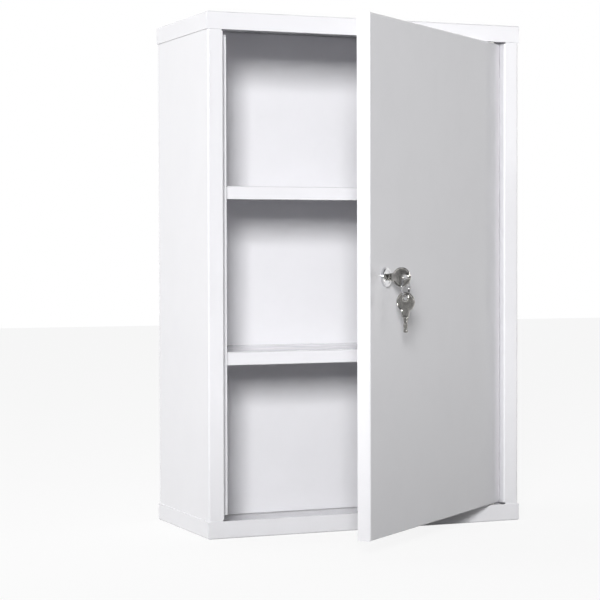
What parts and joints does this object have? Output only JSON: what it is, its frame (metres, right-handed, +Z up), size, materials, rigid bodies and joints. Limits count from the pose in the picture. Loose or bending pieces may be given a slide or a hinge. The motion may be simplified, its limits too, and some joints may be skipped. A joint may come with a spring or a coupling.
{
  "type": "lockable medicine cabinet",
  "caption": "Wall-hung lockable medicine cabinet of folded white steel: fixed shelves behind a pan door on pins, with a cam lock, its key and a spare on a split ring.",
  "frame": {"origin": "centre of the carcass's footprint, on the face that it stands on", "axes": "+Z up, +Y towards the wall, +X towards the hinge side of the door"},
  "size_m": [0.4, 0.3954, 0.597],
  "materials": {
    "white_powder_coat": "semi-gloss powder coat with a fine orange peel",
    "white_nylon": "moulded nylon",
    "zinc_plated_steel": "bright zinc plate",
    "lock_chrome": "polished chrome plate",
    "wafer_brass": "stamped brass",
    "key_nickel": "nickel plate, tumbled",
    "ring_steel": "nickel-plated spring steel"
  },
  "bodies": {
    "carcass": {"top_cap": "white_powder_coat", "bottom_cap": "white_powder_coat", "left_side_panel": "white_powder_coat", "right_side_panel": "white_powder_coat", "back_panel": "white_powder_coat", "upper_shelf": "white_powder_coat", "lower_shelf": "white_powder_coat", "upper_hinge_bracket": "white_powder_coat", "lower_hinge_bracket": "white_powder_coat", "upper_hinge_pin": "zinc_plated_steel", "lower_hinge_pin": "zinc_plated_steel"},
    "door": {"door_pan": "white_powder_coat", "door_stiffener": "white_powder_coat", "upper_hinge_bush": "white_nylon", "lower_hinge_bush": "white_nylon", "lock_body": "lock_chrome", "lock_nut": "zinc_plated_steel"},
    "plug": {"lock_plug": "lock_chrome", "lock_wafers": "wafer_brass", "lock_cam": "zinc_plated_steel", "cam_washer": "zinc_plated_steel", "cam_screw": "zinc_plated_steel"},
    "key": {"lock_key": "key_nickel"},
    "ring": {"key_ring": "ring_steel"},
    "spare": {"spare_key": "key_nickel"}
  },
  "joints": [
    {"name": "door_hinge", "type": "hinge", "parent": "carcass", "child": "door", "pos_m": [0.164, -0.0805, 0.2985], "axis": [0, 0, 1], "range_deg": [-39, 81]},
    {"name": "lock_turn", "type": "hinge", "parent": "door", "child": "plug", "pos_m": [-0.06909, -0.2789, 0.2985], "axis": [-0.6293, 0.7771, 0], "range_deg": [0, 90]},
    {"name": "key_pull", "type": "slide", "parent": "plug", "child": "key", "axis": [0.6293, -0.7771, 0], "range_m": [0, 0.017]},
    {"name": "ring_swing", "type": "hinge", "parent": "key", "child": "ring", "pos_m": [-0.05392, -0.29763, 0.2985], "axis": [-0.7771, -0.6293, 0], "range_deg": [-18, 90]},
    {"name": "spare_key_travel", "type": "hinge", "parent": "ring", "child": "spare", "pos_m": [-0.05392, -0.29763, 0.28761], "axis": [0.6293, -0.7771, 0], "range_deg": [-140, 140]}
  ]
}
